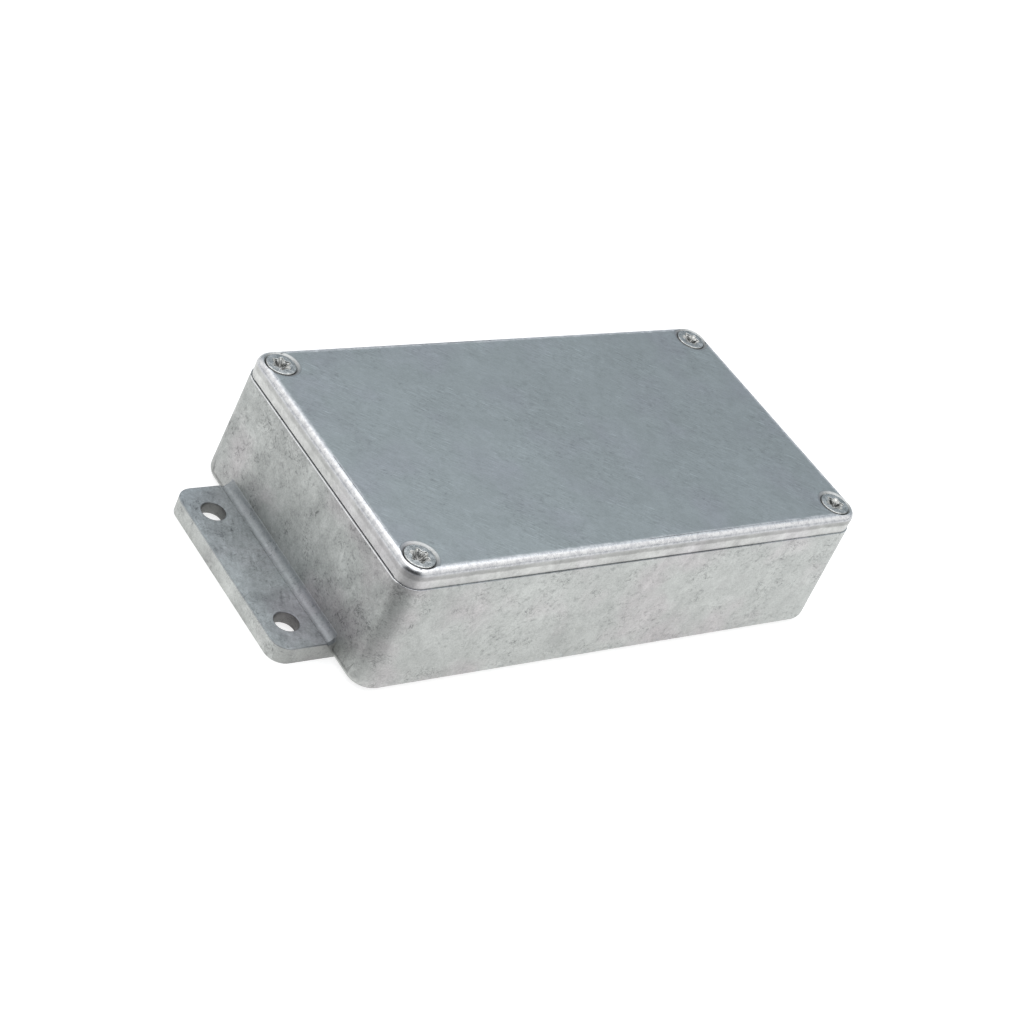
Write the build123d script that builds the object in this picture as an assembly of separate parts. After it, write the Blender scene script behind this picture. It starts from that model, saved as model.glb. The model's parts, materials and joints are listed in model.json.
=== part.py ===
from build123d import *
from math import radians, sqrt, tan
import os

# A die-cast aluminium box with a fixing flange at each end, a lid and four countersunk lid screws.
# Millimetres. +X runs along the box, +Z is up, the origin is the middle of the underside.

# Lid
lid_length = 115.0
lid_width = 62.5
lid_height = 4.2
lid_corner_radius = 4.0
lid_edge_radius = 1.5
lid_skin = 2.2
lip_depth = 1.8
lip_thickness = 1.4
lip_lead_in = 0.4
lid_boss_margin = 0.6

# Base casting, whose walls spread downwards outside and upwards inside, as its die draws
base_height = 25.4
rim_step = 0.25
rim_wall = 2.0
outer_draft = 1.9
core_draft = 1.0
floor_thickness = 2.4
foot_radius = 2.4
floor_radius = 1.5

# Screw pillars in the corners of the base
pillar_radius = 4.0
tapped_depth = 11.0

# Board guides, pairs of ribs down both long walls
guide_count = 5
guide_slot = 1.9
guide_rib_width = 1.3
guide_rib_depth = 1.7
guide_top_gap = 6.0

# Flanges and their fixing holes
flange_reach = 12.2
flange_width = 44.0
flange_thickness = 3.8
flange_corner_radius = 3.6
flange_blend = 1.8
flange_hole_diameter = 5.0
flange_hole_inset = 5.5
flange_hole_spacing = 30.2
flange_edge_break = 0.5

# Lid screws
screw_inset = 4.4
screw_shank = 3.4
screw_length = 12.0
head_diameter = 6.1
head_land = 0.35
recess_diameter = 3.5
recess_depth = 1.2
recess_flute = 1.6

# Fits
lip_clearance = 0.3
pillar_clearance = 0.4
lid_hole_clearance = 0.2
thread_clearance = 0.05
head_seat_clearance = 0.05
countersink_diameter = 7.2
fillet_margin = 0.1

# Sizes that follow from the ones above
top = base_height + lid_height
screw_x = lid_length / 2 - screw_inset
screw_y = lid_width / 2 - screw_inset
screw_places = {
    "front_left": (-screw_x, -screw_y),
    "front_right": (screw_x, -screw_y),
    "rear_left": (-screw_x, screw_y),
    "rear_right": (screw_x, screw_y),
}
rim_length = lid_length + 2 * rim_step
rim_width = lid_width + 2 * rim_step
outer_spread = base_height * tan(radians(outer_draft))
foot_length = rim_length + 2 * outer_spread
foot_width = rim_width + 2 * outer_spread
foot_corner_radius = lid_corner_radius + rim_step + outer_spread
core_length = rim_length - 2 * rim_wall
core_width = rim_width - 2 * rim_wall
core_corner_radius = lid_corner_radius + rim_step - rim_wall
core_depth = base_height - floor_thickness
core_closing = core_depth * tan(radians(core_draft))
lip_length = core_length - 2 * lip_clearance
lip_width = core_width - 2 * lip_clearance
flange_hole_x = foot_length / 2 + flange_reach - flange_hole_inset


def rounded_block(length, width, corner, height, z, taper=0.0):
    """A rounded rectangle at height z, drawn out upwards and drawn in by the taper."""
    outline = RectangleRounded(length, width, corner)
    return extrude(Pos(0, 0, z) * outline, height, taper=taper)


def at_screws(shape):
    """The shape at each of the four screw places."""
    return [Pos(x, y, 0) * shape for x, y in screw_places.values()]


def make_shell():
    """The outside of the base without its flanges, rounded along its foot."""
    shell = rounded_block(foot_length, foot_width, foot_corner_radius, base_height, 0, outer_draft)
    return fillet(shell.faces().sort_by(Axis.Z)[0].edges(), foot_radius)


def make_core():
    """The hollow of the base, narrower at the floor and rounded into it."""
    core = rounded_block(
        core_length - 2 * core_closing,
        core_width - 2 * core_closing,
        max(core_corner_radius - core_closing, floor_radius + fillet_margin),
        core_depth,
        floor_thickness,
        -core_draft,
    )
    return fillet(core.faces().sort_by(Axis.Z)[0].edges(), floor_radius)


def make_pillar():
    """One screw pillar, standing on the floor."""
    return Pos(0, 0, floor_thickness) * Cylinder(
        pillar_radius, core_depth, align=(Align.CENTER, Align.CENTER, Align.MIN)
    )


def make_tapped_hole():
    """The blind cored hole that the screw threads into."""
    radius = screw_shank / 2 + thread_clearance
    return Pos(0, 0, base_height) * Cylinder(
        radius, tapped_depth, align=(Align.CENTER, Align.CENTER, Align.MAX)
    )


def make_guides():
    """Pairs of ribs down the long walls, each pair with a slot for a board's edge."""
    height = core_depth - guide_top_gap
    wall = core_width / 2
    buried = rim_wall / 2
    rib_outline = Rectangle(guide_rib_width, guide_rib_depth + buried)
    rib = extrude(rib_outline, height, taper=core_draft)
    pitch = 2 * screw_x / (guide_count + 1)
    half_pair = (guide_slot + guide_rib_width) / 2
    rib_y = wall - (guide_rib_depth - buried) / 2
    ribs = []
    for place in GridLocations(pitch, 2 * rib_y, guide_count, 2):
        x, y, _ = place.position
        ribs += [Pos(x + side * half_pair, y, floor_thickness) * rib for side in (-1, 1)]
    return ribs


def make_flange_plate():
    """The flange at the +X end before drilling, a plate that curves up into the end wall."""
    wall_x = foot_length / 2 - flange_thickness * tan(radians(outer_draft))
    root_x = foot_length / 2 - foot_radius - rim_wall / 2
    edge_x = foot_length / 2 + flange_reach
    blend_x = wall_x + flange_blend
    blend_z = flange_thickness + flange_blend
    outline = Polyline(
        (wall_x, blend_z), (root_x, blend_z), (root_x, 0), (edge_x, 0),
        (edge_x, flange_thickness), (blend_x, flange_thickness),
    )
    blend = RadiusArc((blend_x, flange_thickness), (wall_x, blend_z), flange_blend)
    plate = extrude(Plane.XZ * make_face(outline + blend), flange_width / 2, both=True)
    corners = plate.edges().filter_by(Axis.Z).group_by(Axis.X)[-1]
    return fillet(corners, flange_corner_radius)


def make_flange():
    """The flange with its two holes, its top edges and the holes' upper rims broken."""
    plate = make_flange_plate()
    top_rim = [
        edge
        for edge in plate.edges().filter_by_position(Axis.Z, flange_thickness, flange_thickness)
        if edge.center().X > foot_length / 2 + flange_blend
    ]
    plate = chamfer(top_rim, flange_edge_break)
    hole = Cylinder(flange_hole_diameter / 2, 3 * flange_thickness)
    for side in (-1, 1):
        plate -= Pos(flange_hole_x, side * flange_hole_spacing / 2, 0) * hole
    rims = plate.edges().filter_by(GeomType.CIRCLE).filter_by(lambda edge: edge.is_closed)
    return chamfer(rims.group_by(Axis.Z)[-1], flange_edge_break)


def make_base():
    """The base as one casting."""
    shell = make_shell()
    pillars = [pillar & shell for pillar in at_screws(make_pillar())]
    base = shell - make_core() + pillars + make_guides() - at_screws(make_tapped_hole())
    flange = make_flange()
    return base + flange + mirror(flange, Plane.YZ)


def make_lid():
    """The lid as one casting, with a lip that drops inside the base's walls."""
    plate = rounded_block(lid_length, lid_width, lid_corner_radius, lid_height, base_height)
    plate = fillet(plate.faces().sort_by(Axis.Z)[-1].edges(), lid_edge_radius)
    lip = rounded_block(
        lip_length, lip_width, core_corner_radius, lip_depth, base_height - lip_depth
    )
    lip = chamfer(lip.faces().sort_by(Axis.Z)[0].edges(), lip_lead_in)
    relief = Pos(0, 0, base_height) * Cylinder(
        pillar_radius + pillar_clearance, lip_depth, align=(Align.CENTER, Align.CENTER, Align.MAX)
    )
    boss = Pos(0, 0, base_height) * Cylinder(
        pillar_radius + lid_boss_margin, lid_height, align=(Align.CENTER, Align.CENTER, Align.MIN)
    )
    pocket = rounded_block(
        lip_length - 2 * lip_thickness,
        lip_width - 2 * lip_thickness,
        core_corner_radius,
        lip_depth + lid_height - lid_skin,
        base_height - lip_depth,
    )
    hollow = pocket - at_screws(boss)
    return plate + (lip - at_screws(relief)) - hollow - at_screws(make_lid_hole())


def make_lid_hole():
    """The screw's clearance hole through the lid and the countersink for its head."""
    hole_radius = screw_shank / 2 + lid_hole_clearance
    sink_radius = countersink_diameter / 2
    hole = Pos(0, 0, base_height) * Cylinder(
        hole_radius, lid_height, align=(Align.CENTER, Align.CENTER, Align.MIN)
    )
    sink = Pos(0, 0, top) * Cone(
        hole_radius, sink_radius, sink_radius - hole_radius,
        align=(Align.CENTER, Align.CENTER, Align.MAX),
    )
    return hole + sink


def make_recess():
    """The six-fluted driver recess, cut down from height 0."""
    points = [place.position for place in PolarLocations(recess_diameter / 2, 6)]
    flutes = [
        RadiusArc(start, end, recess_flute)
        for start, end in zip(points, points[1:] + points[:1])
    ]
    return extrude(make_face(flutes), -recess_depth)


def make_screw():
    """One lid screw on the Z axis, seated at the height where it sits in the lid."""
    head_radius = head_diameter / 2
    shank_radius = screw_shank / 2
    seat = top - (countersink_diameter / 2 - head_radius) + head_seat_clearance * sqrt(2)
    rim = seat + head_land
    throat = seat - (head_radius - shank_radius)
    tip = rim - screw_length
    outline = Polyline(
        (head_radius, rim), (head_radius, seat), (shank_radius, throat),
        (shank_radius, tip), (0, tip), (0, rim), close=True,
    )
    blank = revolve(Plane.XZ * make_face(outline), Axis.Z)
    return blank - Pos(0, 0, rim) * make_recess()


def main():
    os.makedirs("parts", exist_ok=True)
    export_step(make_base(), "parts/enclosure_base.step")
    export_step(make_lid(), "parts/lid.step")
    screw = make_screw()
    for name, (x, y) in screw_places.items():
        export_step(Pos(x, y, 0) * screw, f"parts/lid_screw_{name}.step")


main()
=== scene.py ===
import json
from math import cos, pi, radians, sin

import bmesh
import bpy
from mathutils import Matrix, Vector


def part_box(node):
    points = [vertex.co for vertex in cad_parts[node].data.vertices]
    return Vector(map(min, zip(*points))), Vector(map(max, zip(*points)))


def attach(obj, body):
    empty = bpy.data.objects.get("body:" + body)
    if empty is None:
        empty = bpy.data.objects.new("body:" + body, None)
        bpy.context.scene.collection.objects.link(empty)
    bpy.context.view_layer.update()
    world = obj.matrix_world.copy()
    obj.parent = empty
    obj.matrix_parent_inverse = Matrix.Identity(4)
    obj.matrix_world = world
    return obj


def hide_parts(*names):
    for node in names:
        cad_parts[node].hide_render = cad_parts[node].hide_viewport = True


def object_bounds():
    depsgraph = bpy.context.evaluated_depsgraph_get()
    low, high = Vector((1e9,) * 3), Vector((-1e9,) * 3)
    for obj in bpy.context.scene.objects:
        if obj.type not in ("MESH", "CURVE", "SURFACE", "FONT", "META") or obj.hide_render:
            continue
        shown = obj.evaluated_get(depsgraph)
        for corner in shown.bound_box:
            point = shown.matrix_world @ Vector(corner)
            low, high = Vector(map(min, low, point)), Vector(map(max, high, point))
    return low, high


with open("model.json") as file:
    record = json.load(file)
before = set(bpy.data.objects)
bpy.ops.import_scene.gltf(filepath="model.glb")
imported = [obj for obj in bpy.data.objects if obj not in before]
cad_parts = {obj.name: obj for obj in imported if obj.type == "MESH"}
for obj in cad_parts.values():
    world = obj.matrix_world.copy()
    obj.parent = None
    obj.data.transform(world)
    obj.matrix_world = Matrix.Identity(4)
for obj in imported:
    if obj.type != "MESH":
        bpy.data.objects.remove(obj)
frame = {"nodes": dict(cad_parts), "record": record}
cadLow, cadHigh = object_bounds()
mm = 0.001  # the scene is in metres, and small sizes are given in millimetres
screwCorners = ["front_left", "front_right", "rear_left", "rear_right"]
screwPlaces = [sum(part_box("lid_screw_" + corner), Vector()) / 2 for corner in screwCorners]
lidLow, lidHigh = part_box("lid")
lidTop, lidEnd = lidHigh.z, lidHigh.x
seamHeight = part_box("enclosure_base")[1].z  # where the lid meets the base


def addObject(name, data):
    made = bpy.data.objects.new(name, data)
    bpy.context.collection.objects.link(made)
    return made


# Camera, from the edges and holes of the box in the photograph
photoView = {
    "place": (-0.301887, -0.258287, 0.279515),
    "azimuth": -48.949,
    "elevation": 34.428,
    "roll": 26.415,
    "lens": 83.52,
    "sensor": 36.0,
    "clip": (0.01, 100),
}


def makeCamera():
    turn, rise = radians(photoView["azimuth"]), radians(photoView["elevation"])
    back = Vector((sin(turn) * cos(rise), -cos(turn) * cos(rise), sin(rise)))
    data = bpy.data.cameras.new("camera")
    data.lens = photoView["lens"]
    data.sensor_width = photoView["sensor"]
    data.clip_start, data.clip_end = photoView["clip"]
    camera = addObject("camera", data)
    aim = back.to_track_quat("Z", "Y").to_matrix().to_4x4()
    roll = Matrix.Rotation(radians(photoView["roll"]), 4, "Z")
    camera.matrix_world = Matrix.Translation(photoView["place"]) @ aim @ roll
    bpy.context.scene.camera = camera


makeCamera()
print("camera set")


# Small helpers for node trees, where a value may also be another node's socket
def addNode(tree, kind, inputs=None, **settings):
    node = tree.nodes.new(kind)
    for name, value in settings.items():
        setattr(node, name, value)
    for name, value in (inputs or {}).items():
        if isinstance(value, bpy.types.NodeSocket):
            tree.links.new(value, node.inputs[name])
        else:
            node.inputs[name].default_value = value
    return node


def calc(tree, operation, *values, clamp=False):
    inputs = dict(enumerate(values))
    return addNode(tree, "ShaderNodeMath", inputs, operation=operation, use_clamp=clamp).outputs[0]


def times(tree, *values):
    result = values[0]
    for value in values[1:]:
        result = calc(tree, "MULTIPLY", result, value)
    return result


def plus(tree, *values):
    result = values[0]
    for value in values[1:]:
        result = calc(tree, "ADD", result, value)
    return result


# Up and down from 0, for a noise that runs from 0 to 1
def swing(tree, value, amount):
    return times(tree, calc(tree, "SUBTRACT", value, 0.5), amount)


def vectorCalc(tree, operation, *values):
    inputs = dict(enumerate(values))
    return addNode(tree, "ShaderNodeVectorMath", inputs, operation=operation).outputs


def axes(tree, place):
    return addNode(tree, "ShaderNodeSeparateXYZ", {0: place}).outputs


def painted(tree, layer):
    return addNode(tree, "ShaderNodeAttribute", attribute_name=layer).outputs["Fac"]


def mixColours(tree, share, first, second, blend="MIX"):
    inputs = {0: share, 6: first, 7: second}  # the factor and the two colours of a Mix node
    return addNode(tree, "ShaderNodeMix", inputs, data_type="RGBA", blend_type=blend).outputs[2]


def step(tree, value, low, high, start=0.0, end=1.0):
    inputs = {"Value": value, "From Min": low, "From Max": high, "To Min": start, "To Max": end}
    node = addNode(tree, "ShaderNodeMapRange", inputs, interpolation_type="SMOOTHSTEP")
    return node.outputs["Result"]


# reach stretches the pattern along x, y and z
def noise(tree, place, size, detail, rough=0.5, distort=0.0, reach=(1.0, 1.0, 1.0)):
    scale = tuple(1.0 / (size * r) for r in reach)
    mapping = addNode(tree, "ShaderNodeMapping", {"Vector": place, "Scale": scale})
    inputs = {
        "Vector": mapping.outputs[0], "Scale": 1.0, "Detail": detail,
        "Roughness": rough, "Distortion": distort,
    }
    return addNode(tree, "ShaderNodeTexNoise", inputs).outputs["Fac"]


def newGroup(name, inputs, outputs, kind="ShaderNodeTree"):
    group = bpy.data.node_groups.new(name, kind)
    for label, (socketType, value) in inputs.items():
        socket = group.interface.new_socket(label, in_out="INPUT", socket_type=socketType)
        if value is not None:
            socket.default_value = value
    for label, socketType in outputs.items():
        group.interface.new_socket(label, in_out="OUTPUT", socket_type=socketType)
    start, end = group.nodes.new("NodeGroupInput"), group.nodes.new("NodeGroupOutput")
    return group, start.outputs, end.inputs


def placeGroup(tree, group, inputs):
    return addNode(tree, "ShaderNodeGroup", inputs, node_tree=group).outputs


def newMaterial(name, shaderValues):
    material = bpy.data.materials.new(name)
    material.use_nodes = True
    tree = material.node_tree
    tree.nodes.clear()
    shader = addNode(tree, "ShaderNodeBsdfPrincipled", shaderValues)
    addNode(tree, "ShaderNodeOutputMaterial", {0: shader.outputs[0]})
    return material, tree, shader


def millimetrePlace(tree):
    coordinates = tree.nodes.new("ShaderNodeTexCoord")
    scaled = {"Vector": coordinates.outputs["Object"], "Scale": (1 / mm,) * 3}
    return addNode(tree, "ShaderNodeMapping", scaled).outputs[0], coordinates.outputs["Normal"]


number, vector, geometry = "NodeSocketFloat", "NodeSocketVector", "NodeSocketGeometry"

# The marks on a tumbled die casting, with their sizes in millimetres
skinMarks = {
    "cloudSize": 20.0, "mottleSize": 4.0, "patchSize": 9.0, "curlPatchSize": 5.4,
    "fleckSize": 0.8, "curlSize": 2.2, "grainSize": 0.3, "tintSize": 13.0,
    "pitSpacing": 5.0, "pitRadius": 0.26, "pitEdge": 0.02, "pitWobble": 0.25, "pitWobbleSize": 0.4,
    # where in a noise from 0 to 1 a mark starts, and where it is full
    "patches": (0.4, 0.62), "flecks": (0.52, 0.7), "curlPatches": (0.52, 0.64),
    "pitted": (0.6, 0.62), "curlWidth": 0.028, "fewestFlecks": 0.35,
    # how deep a mark goes, where a pit is 1
    "mottleDepth": 0.5, "grainDepth": 0.25, "fleckDepth": 0.15, "curlDepth": 0.12,
}


# Shader group: the clouds, mottling, flecks, curled flow marks and pits of a tumbled die casting
def makeCastSkin():
    group, given, out = newGroup("castSkin", {
        "Place": (vector, None),
        "Cloud": (number, 0.5),
        "Mottle": (number, 0.5),
        "Fleck": (number, 0.4),
        "Curl": (number, 0.3),
        "Pits": (number, 0.5),
        "Grain": (number, 0.3),
    }, {"Tone": number, "Tint": number, "Height": number})
    place, marks = given["Place"], skinMarks

    cloud = noise(group, place, marks["cloudSize"], 3.0, 0.55)
    mottle = noise(group, place, marks["mottleSize"], 6.0, 0.65, 0.7)
    patch = step(group, noise(group, place, marks["patchSize"], 2.0), *marks["patches"])
    grain = noise(group, place, marks["grainSize"], 2.0, 0.6)

    fleckNoise = noise(group, place, marks["fleckSize"], 2.0, 0.5, 0.7, reach=(1.2, 1.0, 0.9))
    fewest = marks["fewestFlecks"]
    fleckPatch = plus(group, times(group, patch, 1 - fewest), fewest)
    fleck = times(group, step(group, fleckNoise, *marks["flecks"]), fleckPatch)

    curlNoise = noise(group, place, marks["curlSize"], 3.0, 0.55, 1.6)
    offLine = calc(group, "ABSOLUTE", calc(group, "SUBTRACT", curlNoise, 0.5))
    curlPatch = step(group, noise(group, place, marks["curlPatchSize"], 2.0), *marks["curlPatches"])
    curl = times(group, step(group, offLine, marks["curlWidth"], 0.0), curlPatch)

    wobble = swing(group, noise(group, place, marks["pitWobbleSize"], 1.0), marks["pitWobble"])
    spacing = marks["pitSpacing"]
    cells = addNode(group, "ShaderNodeTexVoronoi", {"Vector": place, "Scale": 1 / spacing})
    chance = addNode(group, "ShaderNodeSeparateColor", {"Color": cells.outputs["Color"]}).outputs
    reach = times(group, chance[1], marks["pitRadius"] / spacing)
    away = times(group, cells.outputs["Distance"], plus(group, wobble, 1.0))
    depth = step(group, calc(group, "SUBTRACT", reach, away), 0.0, marks["pitEdge"])
    pit = times(group, depth, step(group, chance[0], *marks["pitted"]))

    tone = 0.5
    for pattern, amount in ((cloud, "Cloud"), (mottle, "Mottle"), (grain, "Grain")):
        tone = plus(group, tone, swing(group, pattern, given[amount]))
    for mark, amount in ((fleck, "Fleck"), (curl, "Curl"), (pit, "Pits")):
        tone = calc(group, "SUBTRACT", tone, times(group, mark, given[amount]))
    height = plus(group, swing(group, mottle, marks["mottleDepth"]),
                  swing(group, grain, marks["grainDepth"]))
    for mark, depth in ((fleck, marks["fleckDepth"]), (curl, marks["curlDepth"]), (pit, 1.0)):
        height = calc(group, "SUBTRACT", height, times(group, mark, depth))
    group.links.new(calc(group, "ADD", tone, 0.0, clamp=True), out["Tone"])
    group.links.new(noise(group, place, marks["tintSize"], 2.0), out["Tint"])
    group.links.new(height, out["Height"])
    return group


rubPattern = {
    "squashUpwards": 0.3, "scratchScale": 0.7, "scratches": (0.66, 0.76),
    "patchSize": 9.0, "patches": (0.35, 0.65, 0.35, 1.0), "strength": 2.0,
}


# Shader group: fine rub marks, lighter and darker, that all run one way across a face
def makeRubMarks():
    group, given, out = newGroup("rubMarks", {
        "Place": (vector, None),
        "Angle": (number, 0.0),
        "Length": (number, 6.0),
        "Width": (number, 0.2),
    }, {"Marks": number, "Scratches": number})
    turned = addNode(
        group, "ShaderNodeVectorRotate", {"Vector": given["Place"], "Angle": given["Angle"]},
        rotation_type="Z_AXIS",
    )
    squash = addNode(group, "ShaderNodeCombineXYZ", {
        "X": calc(group, "DIVIDE", 1.0, given["Length"]),
        "Y": calc(group, "DIVIDE", 1.0, given["Width"]),
        "Z": rubPattern["squashUpwards"],
    })
    lines = vectorCalc(group, "MULTIPLY", turned.outputs[0], squash.outputs[0])["Vector"]
    fine = addNode(group, "ShaderNodeTexNoise", {"Vector": lines, "Scale": 1.0, "Detail": 2.0})
    few = addNode(group, "ShaderNodeTexNoise", {
        "Vector": lines, "Scale": rubPattern["scratchScale"], "Detail": 1.0,
    })
    patchNoise = noise(group, given["Place"], rubPattern["patchSize"], 2.0)
    patches = step(group, patchNoise, *rubPattern["patches"])
    rubs = times(group, swing(group, fine.outputs["Fac"], rubPattern["strength"]), patches)
    group.links.new(rubs, out["Marks"])
    scratch = step(group, few.outputs["Fac"], *rubPattern["scratches"])
    group.links.new(times(group, scratch, patches), out["Scratches"])
    return group


# How much of a normal points up, or along the box, where each kind of face starts and is full
faceKinds = {
    "upright": (0.3, 0.1), "upwards": (0.05, 0.35), "crest": (0.0, 0.75),
    "flatTop": (0.96, 0.995), "ends": (0.6, 0.95),
}


# Shader group: tells rounded edges, flat tops, upright walls and ends apart by the way they face
def makeRoundedEdges():
    group, given, out = newGroup("roundedEdges", {
        "Facing": (vector, None),
    }, {"Upwards": number, "Crest": number, "Ends": number, "Upright": number, "Flat Top": number})
    facing = axes(group, given["Facing"])
    upright = step(group, calc(group, "ABSOLUTE", facing["Z"]), *faceKinds["upright"])
    ends = step(group, calc(group, "ABSOLUTE", facing["X"]), *faceKinds["ends"])
    group.links.new(upright, out["Upright"])
    group.links.new(times(group, upright, ends), out["Ends"])
    for label, kind in {"Upwards": "upwards", "Crest": "crest", "Flat Top": "flatTop"}.items():
        group.links.new(step(group, facing["Z"], *faceKinds[kind]), out[label])
    return group


castSkin, rubMarks, roundedEdges = makeCastSkin(), makeRubMarks(), makeRoundedEdges()
print("shader groups made")


# Materials of the two castings, which differ in tone and in how much each finish shows
castings = {
    "base": {
        "dark": (0.2, 0.2, 0.2, 1), "light": (0.85, 0.84, 0.83, 1),
        "green": (0.975, 1.01, 0.99, 1), "pink": (1.01, 0.99, 1.0, 1),
        "skin": {
            "Cloud": 0.22, "Mottle": 0.42, "Fleck": 0.19, "Curl": 0.3, "Pits": 0.4, "Grain": 0.42,
        },
        # painted shade darkens the ends
        "endPaintedShade": 0.12, "endMottle": 0.45, "sideMottle": 0.1, "topMottle": 0.85,
        # painted shade darkens and blues the faces that lean up
        "topMask": "Upwards", "topPaintedShade": (0.925, 0.96, 1.02, 1), "sideTint": (1, 1, 1, 1),
        "rubbing": -0.28, "rubs": {"Angle": radians(-70), "Length": 3.2, "Width": 0.8},
        "dullGlint": (0.85, 0.85, 0.85, 1), "glint": (0.97, 0.97, 0.97, 1),
        "roughness": 0.5, "halfSize": None,
    },
    "lid": {
        "dark": (0.3, 0.3, 0.3, 1), "light": (0.9, 0.9, 0.9, 1),
        "green": (0.985, 1.003, 0.99, 1), "pink": (1.0, 0.99, 1.01, 1),
        "skin": {
            "Cloud": 0.3, "Mottle": 0.36, "Fleck": 0.12, "Curl": 0.07, "Pits": 0.1, "Grain": 0.3,
        },
        "endPaintedShade": 0.0, "endMottle": 0.0, "sideMottle": 0.7, "topMottle": 0.12,
        # painted shade darkens and blues the flat top
        "topMask": "Flat Top", "topPaintedShade": (0.69, 0.735, 0.75, 1),
        "sideTint": (0.965, 0.955, 0.94, 1),
        "rubbing": 0.4, "rubs": {"Angle": radians(42), "Length": 2.4, "Width": 0.16},
        "dullGlint": (0.655, 0.66, 0.68, 1), "glint": (0.865, 0.87, 0.875, 1),
        "roughness": 0.45, "halfSize": [size / 2 / mm for size in lidHigh - lidLow],
    },
}
# Each mottling is the size, detail, roughness and distortion of its noise
castFinish = {
    "coarseMottle": (6.0, 5.0, 0.6, 0.4), "fineMottle": (1.1, 3.0, 0.6, 0.8), "fineShare": 0.5,
    "hues": (0.46, 0.72),
    "endPaintedShadeFade": (64.0, 62.0, 0.35, 1.0),  # weaker on the ends of the flanges
    "roughnessSpread": 0.16, "bumpStrength": 0.4, "bumpDistance": 0.06 * mm,
}
edgeBurnishAndSheen = {
    "low": (0.66, 0.66, 0.67, 1),  # how much darker the painted highlight is, low on the edge
    "sparkle": (0.95, 4.0, 0.7),  # size, detail and roughness of the noise that speckles it
    "glints": (0.38, 0.58), "height": 0.07, "smoothing": 0.7, "polish": 0.17,
    # how far in from the outline it fades, in millimetres
    "fade": (1.85, 1.05), "fadeWobble": 0.8, "fadeWobbleSize": 1.6, "cornerSmoothing": 2.0,
    # the line of painted shade under the edge, by its depth below the top
    "creaseFoot": (2.45, 2.0), "creaseHead": (0.35, 1.75), "creaseTone": 0.34,
    "creaseWobble": 0.5, "creaseWobbleSize": 2.0,
    "creaseTowardsEnds": (lidEnd / mm - 1.0, lidEnd / mm - 3.0, 0.6, 1.0),
}
# Painted shade darkens some stretches of the seam, least towards the corners, and all along the two
# ends
seamShade = {
    "size": 15.0, "patches": (0.38, 0.62, 0.4, 1.0), "shadeFreeCorner": (46.0, 22.0),
    "shadedEnd": (lidEnd / mm - 1.5, lidEnd / mm - 0.5),
    "colour": (0.04, 0.04, 0.04, 1),
}


def alongBox(tree, place):
    return calc(tree, "ABSOLUTE", axes(tree, place)["X"])


# 1 along the outline of a flat top, fading out unevenly towards its middle
def nearOutline(tree, place, halfSize):
    spot = axes(tree, place)
    gaps = [calc(tree, "SUBTRACT", halfSize[i], calc(tree, "ABSOLUTE", spot[i])) for i in range(2)]
    inwards = calc(tree, "SMOOTH_MIN", *gaps, edgeBurnishAndSheen["cornerSmoothing"])
    uneven = noise(tree, place, edgeBurnishAndSheen["fadeWobbleSize"], 3.0)
    inwards = plus(tree, inwards, swing(tree, uneven, edgeBurnishAndSheen["fadeWobble"]))
    return step(tree, inwards, *edgeBurnishAndSheen["fade"])


# The base's ends are more mottled than its long walls and darkened with painted shade, and the flat
# tops carry rub marks
def castTone(tree, place, look, edges, skin):
    marks = placeGroup(tree, rubMarks, {"Place": place, **look["rubs"]})
    coarse = noise(tree, place, *castFinish["coarseMottle"])
    fine = noise(tree, place, *castFinish["fineMottle"])
    blotch = plus(tree, coarse, times(tree, fine, castFinish["fineShare"]),
                  -0.5 * (1 + castFinish["fineShare"]))
    mottled = plus(tree, times(tree, edges["Ends"], look["endMottle"]),
                   times(tree, edges["Upright"], look["sideMottle"]),
                   times(tree, edges["Flat Top"], look["topMottle"]))
    # painted shade darkens the base's ends, less on the ends of the flanges
    fade = step(tree, alongBox(tree, place), *castFinish["endPaintedShadeFade"])
    rubbed = times(tree, edges["Flat Top"], look["rubbing"])
    tone = plus(tree, skin["Tone"], times(tree, blotch, mottled),
                times(tree, edges["Ends"], fade, -look["endPaintedShade"]),
                times(tree, marks["Marks"], rubbed), times(tree, marks["Scratches"], rubbed))
    return calc(tree, "ADD", tone, 0.0, clamp=True)


def castColour(tree, look, edges, skin, tone):
    colour = mixColours(tree, tone, look["dark"], look["light"])
    pinkness = step(tree, skin["Tint"], *castFinish["hues"])
    hue = mixColours(tree, pinkness, look["green"], look["pink"])
    colour = mixColours(tree, 1.0, colour, hue, "MULTIPLY")
    # painted shade darkens and blues the tops
    colour = mixColours(tree, edges[look["topMask"]], colour, look["topPaintedShade"], "MULTIPLY")
    return mixColours(tree, edges["Upright"], colour, look["sideTint"], "MULTIPLY")


# A dull line of painted shade under the lid's burnished and highlighted edge
def paintedCreaseLine(tree, place, burnishAndSheen):
    wobble = noise(tree, place, edgeBurnishAndSheen["creaseWobbleSize"], 3.0)
    depth = plus(tree, lidTop / mm, times(tree, axes(tree, place)["Z"], -1.0),
                 swing(tree, wobble, edgeBurnishAndSheen["creaseWobble"]))
    foot = step(tree, depth, *edgeBurnishAndSheen["creaseFoot"])
    head = step(tree, depth, *edgeBurnishAndSheen["creaseHead"])
    towardsEnds = step(tree, alongBox(tree, place), *edgeBurnishAndSheen["creaseTowardsEnds"])
    return times(tree, foot, head, towardsEnds, burnishAndSheen, edgeBurnishAndSheen["creaseTone"])


def seamPatches(tree, place):
    along = alongBox(tree, place)
    patchy = step(tree, noise(tree, place, seamShade["size"], 1.0), *seamShade["patches"])
    patchy = times(tree, patchy, step(tree, along, *seamShade["shadeFreeCorner"]))
    return calc(tree, "MAXIMUM", patchy, step(tree, along, *seamShade["shadedEnd"]))


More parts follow.
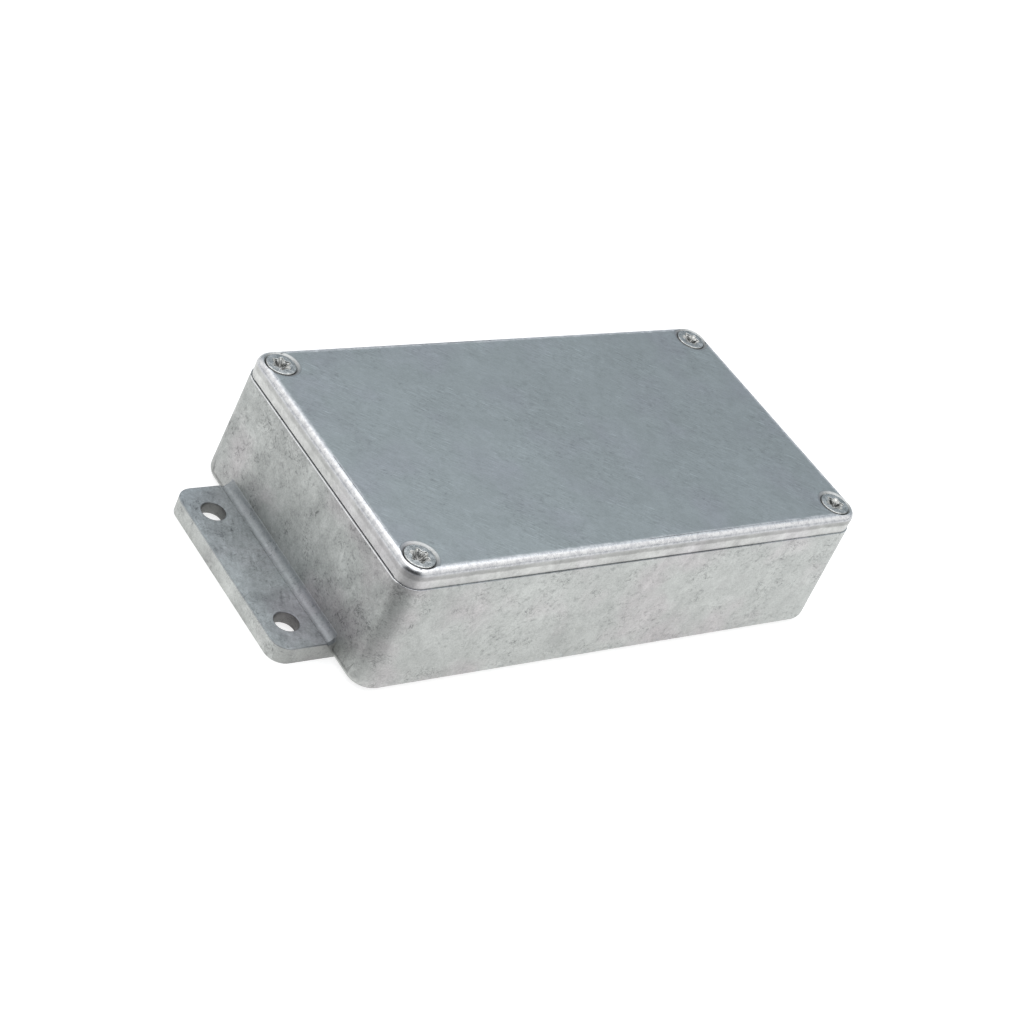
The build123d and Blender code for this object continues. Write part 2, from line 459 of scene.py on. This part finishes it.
def makeCastingMaterial(name, look):
    material, tree, shader = newMaterial(name, {"Metallic": 1.0})
    place, facing = millimetrePlace(tree)
    edges = placeGroup(tree, roundedEdges, {"Facing": facing})
    skin = placeGroup(tree, castSkin, {"Place": place, **look["skin"]})
    burnishAndSheen, paintedShade, seam = [painted(tree, layer) for layer in ("burnishAndSheen", "paintedShade", "seam")]
    tone = castTone(tree, place, look, edges, skin)
    colour = castColour(tree, look, edges, skin, tone)

    # rounded edges that the tumbling has brightened, with a painted highlight that is brightest on
    # their crests
    sparkle = noise(tree, place, *edgeBurnishAndSheen["sparkle"])
    glinting = step(tree, sparkle, *edgeBurnishAndSheen["glints"])
    glint = mixColours(tree, glinting, look["dullGlint"], look["glint"])
    wornAndSheen = times(tree, edges["Upwards"], burnishAndSheen)
    crease = 0.0
    if look["halfSize"]:
        wornAndSheen = times(tree, wornAndSheen, nearOutline(tree, place, look["halfSize"]))
        # the painted highlight is duller low on the edge and brightest on its crest
        low = mixColours(tree, 1.0, glint, edgeBurnishAndSheen["low"], "MULTIPLY")
        glint = mixColours(tree, edges["Crest"], low, glint)
        crease = paintedCreaseLine(tree, place, burnishAndSheen)
    colour = mixColours(tree, wornAndSheen, colour, glint)

    # painted shade in the seam, in the hollows and on some edges and sides, and under the lid's edge
    shadeAmount = plus(tree, paintedShade, times(tree, seam, seamPatches(tree, place)))
    shadeAmount = calc(tree, "MAXIMUM", shadeAmount, crease)
    colour = mixColours(tree, shadeAmount, colour, seamShade["colour"])
    tree.links.new(colour, shader.inputs["Base Color"])

    spread = castFinish["roughnessSpread"]
    rough = calc(tree, "SUBTRACT", look["roughness"] + spread / 2, times(tree, tone, spread))
    leaning = calc(tree, "SUBTRACT", 1.0, edges["Flat Top"])
    rough = calc(tree, "SUBTRACT", rough, times(tree, wornAndSheen, leaning, edgeBurnishAndSheen["polish"]))
    tree.links.new(rough, shader.inputs["Roughness"])
    roughened = calc(tree, "SUBTRACT", 1.0, times(tree, wornAndSheen, edgeBurnishAndSheen["smoothing"]))
    height = plus(tree, times(tree, skin["Height"], roughened),
                  times(tree, sparkle, wornAndSheen, edgeBurnishAndSheen["height"]))
    bump = addNode(tree, "ShaderNodeBump", {
        "Height": height, "Strength": castFinish["bumpStrength"],
        "Distance": castFinish["bumpDistance"],
    })
    tree.links.new(bump.outputs[0], shader.inputs["Normal"])
    return material


# Castings: a copy of each CAD solid with its sharp edges worn round
wear = {
    "mergeDistance": 0.001 * mm,
    "tolerance": 0.01 * mm,
    "flatAngle": 0.5,       # degrees between triangles that make one flat face
    "sharpAngle": 25.0,     # degrees from which an edge counts as sharp
    "edgeRounding": 0.09 * mm,
    "rimRounding": 0.4 * mm,
    "flangeRounding": 0.18 * mm,
    "seamRounding": 0.24 * mm,
    "steps": 3,
    "screwReach": 4.1 * mm,  # how far from a screw's axis its countersink's rim reaches
    "farBurnishAndSheen": 0.5,      # the rear and right edges get half the burnish and painted highlight
}

# How much painted shade each kind of face gets, from 0 to 1
paintedShadeOn = {
    "lidSeamEnd": 0.8, "lidSeamSide": 0.6, "baseSeamEnd": 0.4, "baseSeamSide": 0.35,
    "countersink": 0.85, "countersinkRim": 0.22,
    "holeWall": 0.65, "blend": 0.33, "flangeEdge": 0.42, "flangeSide": 0.4,
}

# The flanges, whose CAD chamfers are worn to small roundings, with a relief under each fixing hole
holeSpacing = frame["record"]["mounts"][0]["dims"]
flange = {
    "start": 60.0 * mm,      # how far out a flange is clear of the wall's blend
    "top": 3.8 * mm,
    "chamfer": 0.5 * mm,
    "longestSlope": 1.45,    # across the chamfer, for a height of 1
    "blendTop": 5.6 * mm,
    "wall": 58.409 * mm,     # how far out the leaning wall is at the top of the blend
    "ledgeMerge": 0.004 * mm,
    "holePlaces": (holeSpacing["spacing_x_mm"] / 2 * mm, holeSpacing["spacing_y_mm"] / 2 * mm),
    "holeReach": 2.6 * mm,
    "reliefRadius": 4.4 * mm,
    "reliefDepth": 1.05 * mm,
    "reliefSegments": 64,
}


def close(first, second):
    return abs(first - second) < wear["tolerance"]


def fromNearestScrew(point):
    return min(((point - place).to_2d() for place in screwPlaces), key=lambda away: away.length)


def nearScrew(point):
    return fromNearestScrew(point).length < wear["screwReach"]


def holeDistance(point):
    x, y = flange["holePlaces"]
    return Vector((abs(point.x) - x, abs(point.y) - y)).length


def flangeEdge(edge):
    return all(close(v.co.z, flange["top"]) and abs(v.co.x) > flange["start"] for v in edge.verts)


# The edges above and below the seam at the two ends
def endSeamEdge(edge):
    outermost = lidEnd - wear["tolerance"]
    return all(close(v.co.z, seamHeight) and abs(v.co.x) > outermost for v in edge.verts)


def countersinkEdge(edge):
    middle = (edge.verts[0].co + edge.verts[1].co) / 2
    return close(middle.z, lidTop) and nearScrew(middle)


# How burnished and highlighted a face of each casting is, how much painted shade it gets, and how
# much painted shade its seam gets
def lidWearAndShade(centre, normal):
    # the lower edge of the lid at the seam takes painted shade
    if centre.z < seamHeight + wear["seamRounding"]:
        atEnd = abs(normal.x) > 0.25 or abs(centre.x) > lidEnd - wear["seamRounding"]
        shadeAmount = paintedShadeOn["lidSeamEnd" if atEnd else "lidSeamSide"]
        return 0.0, 0.0, shadeAmount if normal.z < -0.1 else 0.0
    facesScrew = fromNearestScrew(centre).dot(normal.to_2d()) < -wear["tolerance"]
    # the countersink takes painted shade, darkest deep in the gap round the head
    if nearScrew(centre) and facesScrew:
        deep = centre.z < lidTop - 2 * wear["rimRounding"]
        return 0.0, paintedShadeOn["countersink" if deep else "countersinkRim"], 0.0
    farEdge = max(normal.x, normal.y) > 0.3
    return (wear["farBurnishAndSheen"] if farEdge else 1.0), 0.0, 0.0


def baseWearAndShade(centre, normal):
    # at the seam: painted shade, and on the leaning rim at the ends a burnish with a painted
    # highlight
    if centre.z > seamHeight - wear["seamRounding"]:
        if abs(normal.x) < 0.15 and abs(centre.x) < lidEnd:
            return 0.0, 0.0, paintedShadeOn["baseSeamSide"]
        leaning = normal.z < 0.85
        return (1.0, 0.0, 0.0) if leaning else (0.0, 0.0, paintedShadeOn["baseSeamEnd"])
    if abs(centre.x) < flange["wall"] or centre.z > flange["blendTop"]:
        return 0.0, 0.0, 0.0
    # the walls of the fixing holes, the blend and the flange's edges and front sides take painted
    # shade
    if abs(normal.z) < 0.3 and holeDistance(centre) < flange["holeReach"]:
        return 0.0, paintedShadeOn["holeWall"], 0.0
    if abs(centre.x) < flange["start"]:
        return 0.0, paintedShadeOn["blend"], 0.0
    if 0.1 < normal.z < 0.95:
        return 0.0, paintedShadeOn["flangeEdge"], 0.0
    return 0.0, max(0.0, paintedShadeOn["flangeSide"] * (2 * abs(normal.y) - 1)), 0.0


def sharpEdges(mesh, choose):
    limit = radians(wear["sharpAngle"])
    corners = [edge for edge in mesh.edges if len(edge.link_faces) == 2 and edge.is_convex]
    return [edge for edge in corners if edge.calc_face_angle(0) > limit and choose(edge)]


def roundEdges(mesh, edges, width):
    bmesh.ops.bevel(
        mesh, geom=edges, offset=width, offset_type="OFFSET", segments=wear["steps"],
        profile=0.5, affect="EDGES", clamp_overlap=False,
    )


# Whether an edge runs straight up across a flange's chamfer
def isChamfer(low, high):
    return (close(high.co.z, flange["top"]) and abs(low.co.x) > flange["start"]
            and close(high.co.z - low.co.z, flange["chamfer"])
            and (high.co - low.co).length < flange["longestSlope"] * flange["chamfer"])


def dropChamfers(mesh):
    pairs = [sorted(edge.verts, key=lambda v: v.co.z) for edge in mesh.edges]
    for low, high in [pair for pair in pairs if isChamfer(*pair)]:
        high.co.x, high.co.y = low.co.x, low.co.y
        low.co.z = high.co.z
    bmesh.ops.remove_doubles(mesh, verts=mesh.verts, dist=wear["mergeDistance"])


# The blend's upper end stands out a hair from the leaning wall, and is set back to it
def dropLedge(mesh):
    for v in mesh.verts:
        if close(v.co.z, flange["blendTop"]) and abs(v.co.x) > flange["wall"]:
            v.co.x = flange["wall"] if v.co.x > 0 else -flange["wall"]
    bmesh.ops.remove_doubles(mesh, verts=mesh.verts, dist=flange["ledgeMerge"])


# Takes away the part of a mesh that lies inside a cutter
def cutAway(mesh, cutter):
    pieces = []
    for name, shape in (("whole", mesh), ("cutter", cutter)):
        data = bpy.data.meshes.new(name)
        shape.to_mesh(data)
        pieces.append(addObject(name, data))
    cut = pieces[0].modifiers.new("cut", "BOOLEAN")
    cut.operation, cut.solver, cut.object = "DIFFERENCE", "EXACT", pieces[1]
    left = pieces[0].evaluated_get(bpy.context.evaluated_depsgraph_get()).to_mesh()
    mesh.clear()
    mesh.from_mesh(left)
    for piece in pieces:
        bpy.data.meshes.remove(piece.data)


def wearFlanges(mesh):
    dropChamfers(mesh)
    dropLedge(mesh)
    cutter = bmesh.new()
    x, y = flange["holePlaces"]
    for right in (-1, 1):
        for rear in (-1, 1):
            bmesh.ops.create_cone(
                cutter, cap_ends=True, segments=flange["reliefSegments"],
                radius1=flange["reliefRadius"], radius2=flange["reliefRadius"],
                depth=2 * flange["reliefDepth"], matrix=Matrix.Translation((right * x, rear * y, 0)),
            )
    cutAway(mesh, cutter)
    cutter.free()


def makeCasting(name, node, body, material, wearAndShadeRule):
    mesh = bmesh.new()
    mesh.from_mesh(frame["nodes"][node].data)
    bmesh.ops.remove_doubles(mesh, verts=mesh.verts, dist=wear["mergeDistance"])
    if node == "enclosure_base":
        wearFlanges(mesh)
    bmesh.ops.dissolve_limit(
        mesh, angle_limit=radians(wear["flatAngle"]), verts=mesh.verts, edges=mesh.edges
    )
    softer = {
        countersinkEdge: "rimRounding", flangeEdge: "flangeRounding", endSeamEdge: "seamRounding",
    }
    for rule, width in softer.items():
        chosen = sharpEdges(mesh, rule)
        if chosen:
            roundEdges(mesh, chosen, wear[width])
    roundEdges(mesh, sharpEdges(mesh, lambda edge: True), wear["edgeRounding"])
    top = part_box(node)[1].z
    for v in mesh.verts:
        v.co.z = min(v.co.z, top)
    # each face keeps its burnish and painted highlight, its painted shade and the painted shade of
    # its seam
    layers = [mesh.faces.layers.float.new(layer) for layer in ("burnishAndSheen", "paintedShade", "seam")]
    mesh.normal_update()
    for face in mesh.faces:
        face.smooth = True
        for layer, amount in zip(layers, wearAndShadeRule(face.calc_center_median(), face.normal)):
            face[layer] = amount
    for edge in mesh.edges:
        if not edge.is_convex and edge.calc_face_angle(0) > radians(wear["sharpAngle"]):
            edge.smooth = False
    data = bpy.data.meshes.new(name)
    mesh.to_mesh(data)
    mesh.free()
    data.materials.append(material)
    piece = addObject(name, data)
    shading = piece.modifiers.new("evenShading", "WEIGHTED_NORMAL")
    shading.keep_sharp = True
    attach(piece, body)
    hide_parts(node)
    print(name, len(data.polygons), "faces")


baseSkin = makeCastingMaterial("baseSkin", castings["base"])
lidSkin = makeCastingMaterial("lidSkin", castings["lid"])
makeCasting("baseCasting", "enclosure_base", "base", baseSkin, baseWearAndShade)
makeCasting("lidCasting", "lid", "lid", lidSkin, lidWearAndShade)


# Lid screws: a turned profile swept round, with the driver's flutes and the thread cut by formula
screwForm = {
    "shankRadius": 1.7, "headRadius": 3.05, "headLand": 0.35, "rimRounding": 0.14,
    "domeHeight": 0.1, "domeRings": 6,
    "recessRadius": 2.0, "recessRounding": 0.16, "recessLand": 0.05,
    "recess": [(0.0, -1.3), (0.5, -1.22), (0.95, -1.05), (1.3, -0.75), (1.6, -0.45), (1.85, -0.2)],
    "flutes": 6, "fluteDepth": 0.58, "fullFlute": 1.6, "fluteRings": 3,
    "pitch": 0.7, "threadDepth": 0.36, "rowsPerTurn": 8,
    "neck": 0.5, "tipChamfer": 0.45, "tipThread": 0.4,
    "segments": 72, "sharpAngle": 40,
    "turns": {"front_left": 14, "front_right": 41, "rear_left": 3, "rear_right": 27},
    # heights between which painted shade darkens the recess and the head's side, and how far in the
    # side it reaches
    "recessShade": (-0.22, -0.8), "sideShade": (-0.04, -0.12), "sideShadeReach": 0.2,
}


# Points of (radius, cut, height above the head's rim), where cut is 1 for flutes and -1 for thread
def screwProfile(headRadius, length):
    form = screwForm
    recess, land, shank = form["recessRadius"], form["headLand"], form["shankRadius"]
    bend, rim = form["recessRounding"], form["rimRounding"]

    def dome(radius):
        return form["domeHeight"] * (1 - (radius / headRadius) ** 2)

    points = [
        (radius, min(1.0, radius / form["fullFlute"]), height) for radius, height in form["recess"]
    ]
    for part in (0.0, 0.33, 0.67, 1.0):
        turn = part * pi / 2
        points.append((recess + bend * (1 - cos(turn)), 1, dome(recess) - bend * (1 - sin(turn))))
    start, end = recess + bend + form["recessLand"], headRadius - rim
    for ring in range(form["domeRings"] + 1):
        radius = start + (end - start) * ring / form["domeRings"]
        points.append((radius, max(0.0, 1 - ring / form["fluteRings"]), dome(radius)))
    for part in (0.35, 0.7, 1.0):
        turn = part * pi / 2
        points.append((end + rim * sin(turn), 0, dome(end) - rim * (1 - cos(turn))))
    throat = -land - (headRadius - shank)
    middle = ((headRadius + shank) / 2, 0, (throat - land) / 2)
    points += [(headRadius, 0, -land), middle, (shank, 0, throat)]
    top, tip = throat - form["neck"], -length
    rows = round((top - tip) / form["pitch"] * form["rowsPerTurn"])
    for row in range(rows + 1):
        height = top + (tip - top) * row / rows
        share = min(1.0, row / form["rowsPerTurn"])
        radius = min(shank, shank - form["tipChamfer"] + (height - tip))
        points.append((radius, -share * min(1.0, form["tipThread"] + (height - tip)), height))
    return points + [(0, 0, tip)]


def makeScrewTree():
    group, given, out = newGroup("turnedScrew", {
        "Profile": (geometry, None), "Place": (vector, None), "Turn": (number, None),
        "Segments": ("NodeSocketInt", None), "Flutes": (number, None),
        "Flute Depth": (number, None), "Pitch": (number, None), "Thread Depth": (number, None),
        "Finish": ("NodeSocketMaterial", None),
    }, {"Screw": geometry}, "GeometryNodeTree")

    # a flat grid, one row for each point of the profile
    size = addNode(
        group, "GeometryNodeAttributeDomainSize", {"Geometry": given["Profile"]}, component="MESH"
    )
    count = size.outputs["Point Count"]
    grid = addNode(group, "GeometryNodeMeshGrid", {
        "Size X": 1.0, "Size Y": 1.0,
        "Vertices X": calc(group, "ADD", given["Segments"], 1.0), "Vertices Y": count,
    })
    position = group.nodes.new("GeometryNodeInputPosition").outputs[0]
    spot = axes(group, position)
    around = calc(group, "ADD", spot["X"], 0.5)
    row = times(group, calc(group, "ADD", spot["Y"], 0.5), calc(group, "SUBTRACT", count, 1.0))
    sample = addNode(group, "GeometryNodeSampleIndex", {
        "Geometry": given["Profile"], "Value": position, "Index": calc(group, "ROUND", row),
    }, data_type="FLOAT_VECTOR", domain="POINT")
    profile = axes(group, sample.outputs["Value"])

    # the driver's flutes and the thread, taken off the profile's radius
    angle = times(group, around, 2 * pi)
    wave = calc(group, "SUBTRACT", 1.0, calc(group, "COSINE", times(group, angle, given["Flutes"])))
    fluteHere = calc(group, "MAXIMUM", profile["Y"], 0.0)
    flute = times(group, wave, 0.5, given["Flute Depth"], fluteHere)
    along = calc(group, "SUBTRACT", calc(group, "DIVIDE", profile["Z"], given["Pitch"]), around)
    ridge = calc(group, "SUBTRACT", times(group, calc(group, "FRACT", along), 2.0), 1.0)
    threadHere = calc(group, "MAXIMUM", times(group, profile["Y"], -1.0), 0.0)
    groove = times(group, calc(group, "ABSOLUTE", ridge), given["Thread Depth"], threadHere)
    radius = calc(group, "SUBTRACT", calc(group, "SUBTRACT", profile["X"], flute), groove)

    turned = calc(group, "ADD", angle, given["Turn"])
    swept = addNode(group, "ShaderNodeCombineXYZ", {
        "X": times(group, radius, calc(group, "COSINE", turned)),
        "Y": times(group, radius, calc(group, "SINE", turned)),
        "Z": profile["Z"],
    })
    where = vectorCalc(group, "ADD", swept.outputs[0], given["Place"])["Vector"]

    # painted shade darkens the fluted recess and the side of the head
    def below(heights):
        return step(group, profile["Z"], *(height * mm for height in heights))

    side, reach = screwForm["headRadius"] * mm, screwForm["sideShadeReach"] * mm
    inRecess = times(group, below(screwForm["recessShade"]), step(group, profile["Y"], 0.0, 0.01))
    nearRim = step(group, profile["X"], side - reach, side)
    onSide = times(group, nearRim, below(screwForm["sideShade"]))
    shade = calc(group, "MAXIMUM", inRecess, onSide)
    steps = [
        ("GeometryNodeStoreNamedAttribute", {"Name": "shade", "Value": shade}),
        ("GeometryNodeSetPosition", {"Position": where}),
        ("GeometryNodeMergeByDistance", {"Distance": wear["mergeDistance"]}),
        ("GeometryNodeSetShadeSmooth", {}),
        ("GeometryNodeRealizeInstances", {}),
        ("GeometryNodeSetMaterial", {"Material": given["Finish"]}),
    ]
    shape = grid.outputs["Mesh"]
    for kind, inputs in steps:
        shape = addNode(group, kind, {"Geometry": shape, **inputs}).outputs[0]
    group.links.new(shape, out["Screw"])
    return group


zincLook = {
    "blotchSize": 0.9, "blotches": (0.35, 0.65),
    "dull": (0.44, 0.45, 0.44, 1), "bright": (0.74, 0.74, 0.72, 1),
    "speckSize": 0.22, "specks": (0.6, 0.72), "speckColour": (0.25, 0.25, 0.24, 1),
    "shadeShare": 0.7, "shadeColour": (0.06, 0.06, 0.06, 1),
    "roughness": (0.3, 0.7, 0.34, 0.2), "bumpStrength": 0.5, "bumpDistance": 0.05 * mm,
}


def makeZincMaterial():
    material, tree, shader = newMaterial("brightZinc", {"Metallic": 1.0})
    place, look = millimetrePlace(tree)[0], zincLook
    blotch = step(tree, noise(tree, place, look["blotchSize"], 3.0), *look["blotches"])
    speck = noise(tree, place, look["speckSize"], 2.0)
    # painted shade darkens the fluted recess and the head's side
    shade = times(tree, painted(tree, "shade"), look["shadeShare"])
    colour = mixColours(tree, blotch, look["dull"], look["bright"])
    colour = mixColours(tree, step(tree, speck, *look["specks"]), colour, look["speckColour"])
    colour = mixColours(tree, shade, colour, look["shadeColour"])
    tree.links.new(colour, shader.inputs["Base Color"])
    tree.links.new(step(tree, speck, *look["roughness"]), shader.inputs["Roughness"])
    bump = addNode(tree, "ShaderNodeBump", {
        "Height": speck, "Strength": look["bumpStrength"], "Distance": look["bumpDistance"],
    })
    tree.links.new(bump.outputs[0], shader.inputs["Normal"])
    return material


def makeScrew(corner, tree, finish):
    low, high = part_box("lid_screw_" + corner)
    name = "screw" + corner.title().replace("_", "")
    points = screwProfile((high.x - low.x) / 2 / mm, (high.z - low.z) / mm)
    data = bpy.data.meshes.new(name)
    spots = [Vector((radius * mm, cut, height * mm)) for radius, cut, height in points]
    data.from_pydata(spots, [(i, i + 1) for i in range(len(spots) - 1)], [])
    screw = addObject(name, data)
    values = {
        "Place": ((low.x + high.x) / 2, (low.y + high.y) / 2, high.z),
        "Turn": radians(screwForm["turns"][corner]),
        "Segments": screwForm["segments"],
        "Flutes": float(screwForm["flutes"]),
        "Flute Depth": screwForm["fluteDepth"] * mm,
        "Pitch": screwForm["pitch"] * mm,
        "Thread Depth": screwForm["threadDepth"] * mm,
        "Finish": finish,
    }
    modifier = screw.modifiers.new("turnedScrew", "NODES")
    modifier.node_group = tree
    for socket in tree.interface.items_tree:
        if socket.in_out == "INPUT" and socket.name in values:
            modifier[socket.identifier] = values[socket.name]
    swept = screw.evaluated_get(bpy.context.evaluated_depsgraph_get())
    screw.data = bpy.data.meshes.new_from_object(swept)
    screw.modifiers.remove(modifier)
    screw.data.set_sharp_from_angle(angle=radians(screwForm["sharpAngle"]))
    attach(screw, "screw_" + corner)
    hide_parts("lid_screw_" + corner)


screwTree, zinc = makeScrewTree(), makeZincMaterial()
for corner in screwCorners:
    makeScrew(corner, screwTree, zinc)
print("screws made")


# Floor and light: a white floor, a broad soft box overhead and a room that is darker low down
studio = {
    "floorSize": 12.0,
    "floorDrop": 0.02 * mm,  # keeps the floor off the underside that rests on it
    "floorColour": (0.5, 0.5, 0.5, 1),
    "floorRoughness": 0.9,
    "floorGlow": 0.75,
    "white": (1, 1, 1, 1), "black": (0.02, 0.02, 0.02, 1),
    "skyLow": (0.285, 0.335, 0.38, 1), "skyHigh": (0.52, 0.57, 0.62, 1),
    # the pale sides of the room, across the view: how far round and how high they reach
    "sideGlow": (0.92, 0.92, 0.92, 1), "sideRound": (0.86, 0.4), "sideUp": (-0.15, 0.35),
    # the dark side of the room that the view is from, and its shade on the mirrored floor, which
    # spreads from the corner of the case nearest the view
    "operator": {
        "towards": (-0.75, -0.66, 0), "shade": 0.95, "round": (0.56, 0.82), "up": (0.9, 0.75),
        "floorShade": 0.95, "floorRound": (0.5, 0.62), "floorAway": (0.0, 0.02),
        "floorFrom": (cadLow.x + 12 * mm, cadLow.y, 0.0),
    },
    "softbox": {"height": 0.95, "size": 1.3, "radiance": 1.15},
}


def towardsOperator(tree, direction):
    level = vectorCalc(tree, "NORMALIZE", direction)["Vector"]
    return vectorCalc(tree, "DOT_PRODUCT", level, studio["operator"]["towards"])["Value"]


def makeFloor():
    half, operator = studio["floorSize"] / 2, studio["operator"]
    data = bpy.data.meshes.new("floor")
    outline = ((-half, -half), (half, -half), (half, half), (-half, half))
    data.from_pydata([(x, y, -studio["floorDrop"]) for x, y in outline], [], [(0, 1, 2, 3)])
    material, tree, shader = newMaterial("paper", {
        "Base Color": studio["floorColour"], "Roughness": studio["floorRoughness"],
        "Emission Color": studio["white"],
    })
    place = tree.nodes.new("ShaderNodeTexCoord").outputs["Object"]
    place = vectorCalc(tree, "SUBTRACT", place, operator["floorFrom"])["Vector"]
    side = step(tree, towardsOperator(tree, place), *operator["floorRound"])
    away = step(tree, vectorCalc(tree, "LENGTH", place)["Value"], *operator["floorAway"])
    shaded = times(tree, side, away, operator["floorShade"])
    rays = tree.nodes.new("ShaderNodeLightPath").outputs
    mirrored = times(tree, plus(tree, rays["Is Glossy Ray"], rays["Is Transmission Ray"]),
                     calc(tree, "SUBTRACT", 1.0, shaded))
    seen = plus(tree, rays["Is Camera Ray"], mirrored)
    tree.links.new(times(tree, seen, studio["floorGlow"]), shader.inputs["Emission Strength"])
    fromBelow = tree.nodes.new("ShaderNodeNewGeometry").outputs["Backfacing"]
    tree.links.new(calc(tree, "SUBTRACT", 1.0, fromBelow), shader.inputs["Alpha"])
    data.materials.append(material)
    floor = addObject("floor", data)


def makeSky():
    operator = studio["operator"]
    world = bpy.data.worlds.new("studio")
    bpy.context.scene.world = world
    world.use_nodes = True
    tree = world.node_tree
    tree.nodes.clear()
    direction = tree.nodes.new("ShaderNodeTexCoord").outputs["Generated"]
    upwards = axes(tree, direction)["Z"]
    colour = mixColours(tree, step(tree, upwards, 0.0, 1.0), studio["skyLow"], studio["skyHigh"])
    side = towardsOperator(tree, vectorCalc(tree, "MULTIPLY", direction, (1, 1, 0))["Vector"])
    across = times(tree, step(tree, calc(tree, "ABSOLUTE", side), *studio["sideRound"]),
                   step(tree, upwards, *studio["sideUp"]))
    colour = mixColours(tree, across, colour, studio["sideGlow"])
    behind = times(tree, step(tree, side, *operator["round"]), step(tree, upwards, *operator["up"]),
                   operator["shade"])
    colour = mixColours(tree, behind, colour, studio["black"])
    rays = tree.nodes.new("ShaderNodeLightPath").outputs
    colour = mixColours(tree, rays["Is Camera Ray"], colour, studio["white"])
    background = addNode(tree, "ShaderNodeBackground", {"Color": colour})
    addNode(tree, "ShaderNodeOutputWorld", {0: background.outputs[0]})


def makeSoftbox():
    box = studio["softbox"]
    data = bpy.data.lights.new("overheadBox", "AREA")
    data.shape = "SQUARE"
    data.size = box["size"]
    data.energy = box["radiance"] * pi * box["size"] ** 2
    lamp = addObject("overheadBox", data)
    lamp.location = (0, 0, box["height"])
    lamp.visible_camera = False


makeFloor()
makeSky()
makeSoftbox()
bpy.context.scene.view_settings.view_transform = "Standard"
print("studio lit")
